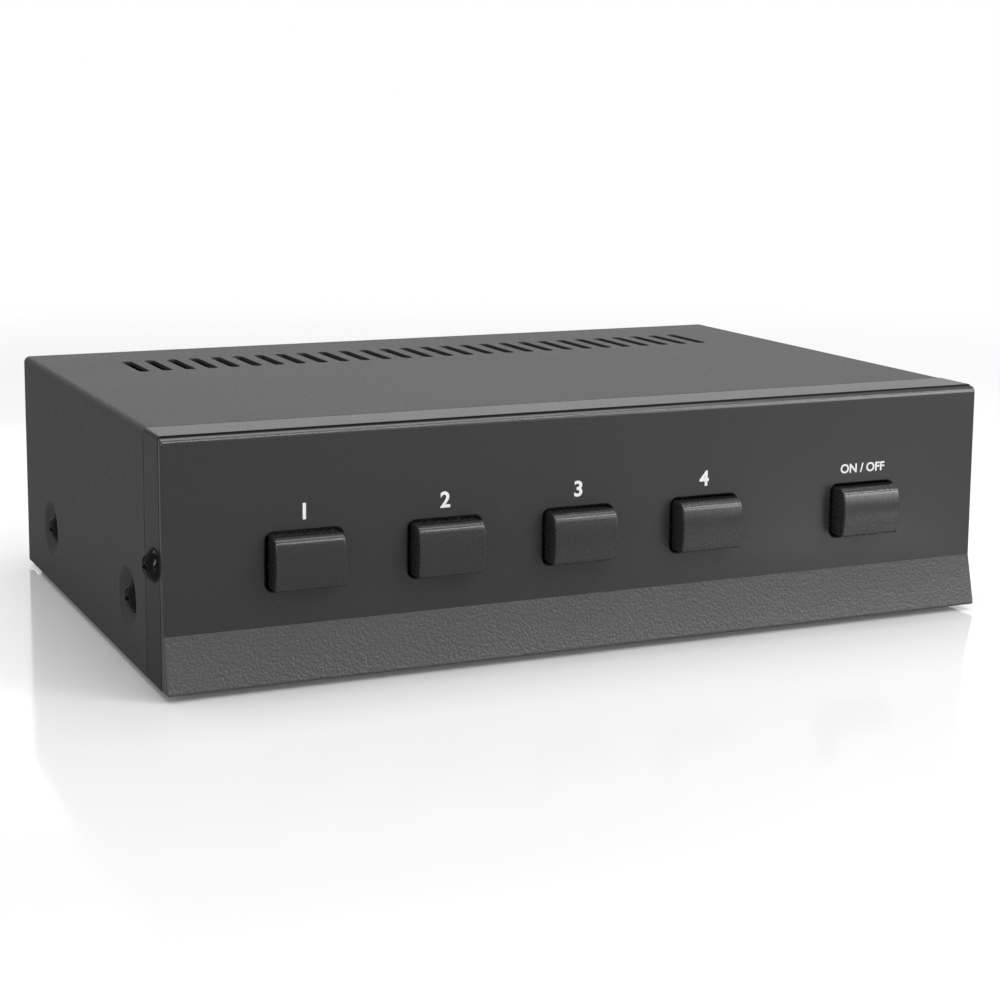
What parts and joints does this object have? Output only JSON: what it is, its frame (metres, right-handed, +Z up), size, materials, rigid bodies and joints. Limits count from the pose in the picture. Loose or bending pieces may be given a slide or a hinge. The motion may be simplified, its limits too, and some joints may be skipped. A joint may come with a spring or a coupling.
{
  "type": "speaker selector switch",
  "caption": "Flat steel box with a row of square push buttons in front, a vented cover and rear spring-clip terminals; it routes one stereo amplifier to several speaker pairs.",
  "frame": {"origin": "centre of the bounding box in plan, at the underside of the rubber feet", "axes": "+X to the right seen from the front, +Y from the front panel to the rear terminals, +Z up"},
  "size_m": [0.2148, 0.1562, 0.0575],
  "materials": {
    "cover_paint": "fine-textured black powder coat",
    "zinc_steel": "semi-matt black paint on folded steel",
    "frame_plastic": "smooth satin black moulding",
    "panel_plastic": "smooth matt black face, grained lower band",
    "cap_plastic": "satin black moulded cap",
    "switch_plastic": "natural white nylon",
    "plunger_plastic": "white acetal",
    "spring_steel": "plain spring wire",
    "board_green": "green solder mask",
    "plated_steel": "bright zinc plate",
    "ceramic": "cement-filled ceramic",
    "ribbon_grey": "grey flat-cable insulation",
    "spring_brass": "tinned spring brass",
    "black_steel": "gloss black oxide screws",
    "foot_rubber": "black rubber",
    "block_plastic": "black moulded terminal housing",
    "lever_red": "red moulded lever",
    "lever_black": "black moulded lever"
  },
  "bodies": {
    "case": {"chassis_base": "zinc_steel", "cover": "cover_paint", "front_frame": "frame_plastic", "front_panel": "panel_plastic", "main_board": "board_green", "board_standoffs": "plated_steel", "board_screws": "plated_steel", "power_resistors": "ceramic", "ribbon_cables": "ribbon_grey", "terminal_board": "board_green", "contact_springs": "spring_brass", "terminal_rivets": "plated_steel", "side_screws": "black_steel", "clinch_nuts": "plated_steel", "feet": "foot_rubber", "switch_body_1": "switch_plastic", "return_spring_1": "spring_steel", "switch_body_2": "switch_plastic", "return_spring_2": "spring_steel", "switch_body_3": "switch_plastic", "return_spring_3": "spring_steel", "switch_body_4": "switch_plastic", "return_spring_4": "spring_steel", "switch_body_protection": "switch_plastic", "return_spring_protection": "spring_steel", "terminal_block_input": "block_plastic", "terminal_block_1": "block_plastic", "terminal_block_2": "block_plastic", "terminal_block_3": "block_plastic", "terminal_block_4": "block_plastic"},
    "button_1": {"button_cap_1": "cap_plastic", "plunger_1": "plunger_plastic"},
    "button_2": {"button_cap_2": "cap_plastic", "plunger_2": "plunger_plastic"},
    "button_3": {"button_cap_3": "cap_plastic", "plunger_3": "plunger_plastic"},
    "button_4": {"button_cap_4": "cap_plastic", "plunger_4": "plunger_plastic"},
    "button_protection": {"button_cap_protection": "cap_plastic", "plunger_protection": "plunger_plastic"},
    "clip_input_right_red": {"lever_input_right_red": "lever_red"},
    "clip_input_right_black": {"lever_input_right_black": "lever_black"},
    "clip_input_left_red": {"lever_input_left_red": "lever_red"},
    "clip_input_left_black": {"lever_input_left_black": "lever_black"},
    "clip_1_right_red": {"lever_1_right_red": "lever_red"},
    "clip_1_right_black": {"lever_1_right_black": "lever_black"},
    "clip_1_left_red": {"lever_1_left_red": "lever_red"},
    "clip_1_left_black": {"lever_1_left_black": "lever_black"},
    "clip_2_right_red": {"lever_2_right_red": "lever_red"},
    "clip_2_right_black": {"lever_2_right_black": "lever_black"},
    "clip_2_left_red": {"lever_2_left_red": "lever_red"},
    "clip_2_left_black": {"lever_2_left_black": "lever_black"},
    "clip_3_right_red": {"lever_3_right_red": "lever_red"},
    "clip_3_right_black": {"lever_3_right_black": "lever_black"},
    "clip_3_left_red": {"lever_3_left_red": "lever_red"},
    "clip_3_left_black": {"lever_3_left_black": "lever_black"},
    "clip_4_right_red": {"lever_4_right_red": "lever_red"},
    "clip_4_right_black": {"lever_4_right_black": "lever_black"},
    "clip_4_left_red": {"lever_4_left_red": "lever_red"},
    "clip_4_left_black": {"lever_4_left_black": "lever_black"}
  },
  "joints": [
    {"name": "press_1", "type": "slide", "parent": "case", "child": "button_1", "axis": [0, 1, 0], "range_m": [0, 0.004], "stiffness_N_per_m": 300, "deforming": ["return_spring_1"]},
    {"name": "press_2", "type": "slide", "parent": "case", "child": "button_2", "axis": [0, 1, 0], "range_m": [0, 0.004], "stiffness_N_per_m": 300, "deforming": ["return_spring_2"]},
    {"name": "press_3", "type": "slide", "parent": "case", "child": "button_3", "axis": [0, 1, 0], "range_m": [0, 0.004], "stiffness_N_per_m": 300, "deforming": ["return_spring_3"]},
    {"name": "press_4", "type": "slide", "parent": "case", "child": "button_4", "axis": [0, 1, 0], "range_m": [0, 0.004], "stiffness_N_per_m": 300, "deforming": ["return_spring_4"]},
    {"name": "press_protection", "type": "slide", "parent": "case", "child": "button_protection", "axis": [0, 1, 0], "range_m": [0, 0.004], "stiffness_N_per_m": 300, "deforming": ["return_spring_protection"]},
    {"name": "clip_input_right_red_hinge", "type": "hinge", "parent": "case", "child": "clip_input_right_red", "pos_m": [0.0737, 0.0688, 0.0421], "axis": [-1, 0, 0], "range_deg": [0, 20], "stiffness_Nm_per_rad": 0.06},
    {"name": "clip_input_right_black_hinge", "type": "hinge", "parent": "case", "child": "clip_input_right_black", "pos_m": [0.0737, 0.0688, 0.0257], "axis": [-1, 0, 0], "range_deg": [0, 20], "stiffness_Nm_per_rad": 0.06},
    {"name": "clip_input_left_red_hinge", "type": "hinge", "parent": "case", "child": "clip_input_left_red", "pos_m": [0.0887, 0.0688, 0.0421], "axis": [-1, 0, 0], "range_deg": [0, 20], "stiffness_Nm_per_rad": 0.06},
    {"name": "clip_input_left_black_hinge", "type": "hinge", "parent": "case", "child": "clip_input_left_black", "pos_m": [0.0887, 0.0688, 0.0257], "axis": [-1, 0, 0], "range_deg": [0, 20], "stiffness_Nm_per_rad": 0.06},
    {"name": "clip_1_right_red_hinge", "type": "hinge", "parent": "case", "child": "clip_1_right_red", "pos_m": [0.0331, 0.0688, 0.0421], "axis": [-1, 0, 0], "range_deg": [0, 20], "stiffness_Nm_per_rad": 0.06},
    {"name": "clip_1_right_black_hinge", "type": "hinge", "parent": "case", "child": "clip_1_right_black", "pos_m": [0.0331, 0.0688, 0.0257], "axis": [-1, 0, 0], "range_deg": [0, 20], "stiffness_Nm_per_rad": 0.06},
    {"name": "clip_1_left_red_hinge", "type": "hinge", "parent": "case", "child": "clip_1_left_red", "pos_m": [0.0481, 0.0688, 0.0421], "axis": [-1, 0, 0], "range_deg": [0, 20], "stiffness_Nm_per_rad": 0.06},
    {"name": "clip_1_left_black_hinge", "type": "hinge", "parent": "case", "child": "clip_1_left_black", "pos_m": [0.0481, 0.0688, 0.0257], "axis": [-1, 0, 0], "range_deg": [0, 20], "stiffness_Nm_per_rad": 0.06},
    {"name": "clip_2_right_red_hinge", "type": "hinge", "parent": "case", "child": "clip_2_right_red", "pos_m": [-0.0075, 0.0688, 0.0421], "axis": [-1, 0, 0], "range_deg": [0, 20], "stiffness_Nm_per_rad": 0.06},
    {"name": "clip_2_right_black_hinge", "type": "hinge", "parent": "case", "child": "clip_2_right_black", "pos_m": [-0.0075, 0.0688, 0.0257], "axis": [-1, 0, 0], "range_deg": [0, 20], "stiffness_Nm_per_rad": 0.06},
    {"name": "clip_2_left_red_hinge", "type": "hinge", "parent": "case", "child": "clip_2_left_red", "pos_m": [0.0075, 0.0688, 0.0421], "axis": [-1, 0, 0], "range_deg": [0, 20], "stiffness_Nm_per_rad": 0.06},
    {"name": "clip_2_left_black_hinge", "type": "hinge", "parent": "case", "child": "clip_2_left_black", "pos_m": [0.0075, 0.0688, 0.0257], "axis": [-1, 0, 0], "range_deg": [0, 20], "stiffness_Nm_per_rad": 0.06},
    {"name": "clip_3_right_red_hinge", "type": "hinge", "parent": "case", "child": "clip_3_right_red", "pos_m": [-0.0481, 0.0688, 0.0421], "axis": [-1, 0, 0], "range_deg": [0, 20], "stiffness_Nm_per_rad": 0.06},
    {"name": "clip_3_right_black_hinge", "type": "hinge", "parent": "case", "child": "clip_3_right_black", "pos_m": [-0.0481, 0.0688, 0.0257], "axis": [-1, 0, 0], "range_deg": [0, 20], "stiffness_Nm_per_rad": 0.06},
    {"name": "clip_3_left_red_hinge", "type": "hinge", "parent": "case", "child": "clip_3_left_red", "pos_m": [-0.0331, 0.0688, 0.0421], "axis": [-1, 0, 0], "range_deg": [0, 20], "stiffness_Nm_per_rad": 0.06},
    {"name": "clip_3_left_black_hinge", "type": "hinge", "parent": "case", "child": "clip_3_left_black", "pos_m": [-0.0331, 0.0688, 0.0257], "axis": [-1, 0, 0], "range_deg": [0, 20], "stiffness_Nm_per_rad": 0.06},
    {"name": "clip_4_right_red_hinge", "type": "hinge", "parent": "case", "child": "clip_4_right_red", "pos_m": [-0.0887, 0.0688, 0.0421], "axis": [-1, 0, 0], "range_deg": [0, 20], "stiffness_Nm_per_rad": 0.06},
    {"name": "clip_4_right_black_hinge", "type": "hinge", "parent": "case", "child": "clip_4_right_black", "pos_m": [-0.0887, 0.0688, 0.0257], "axis": [-1, 0, 0], "range_deg": [0, 20], "stiffness_Nm_per_rad": 0.06},
    {"name": "clip_4_left_red_hinge", "type": "hinge", "parent": "case", "child": "clip_4_left_red", "pos_m": [-0.0737, 0.0688, 0.0421], "axis": [-1, 0, 0], "range_deg": [0, 20], "stiffness_Nm_per_rad": 0.06},
    {"name": "clip_4_left_black_hinge", "type": "hinge", "parent": "case", "child": "clip_4_left_black", "pos_m": [-0.0737, 0.0688, 0.0257], "axis": [-1, 0, 0], "range_deg": [0, 20], "stiffness_Nm_per_rad": 0.06}
  ]
}
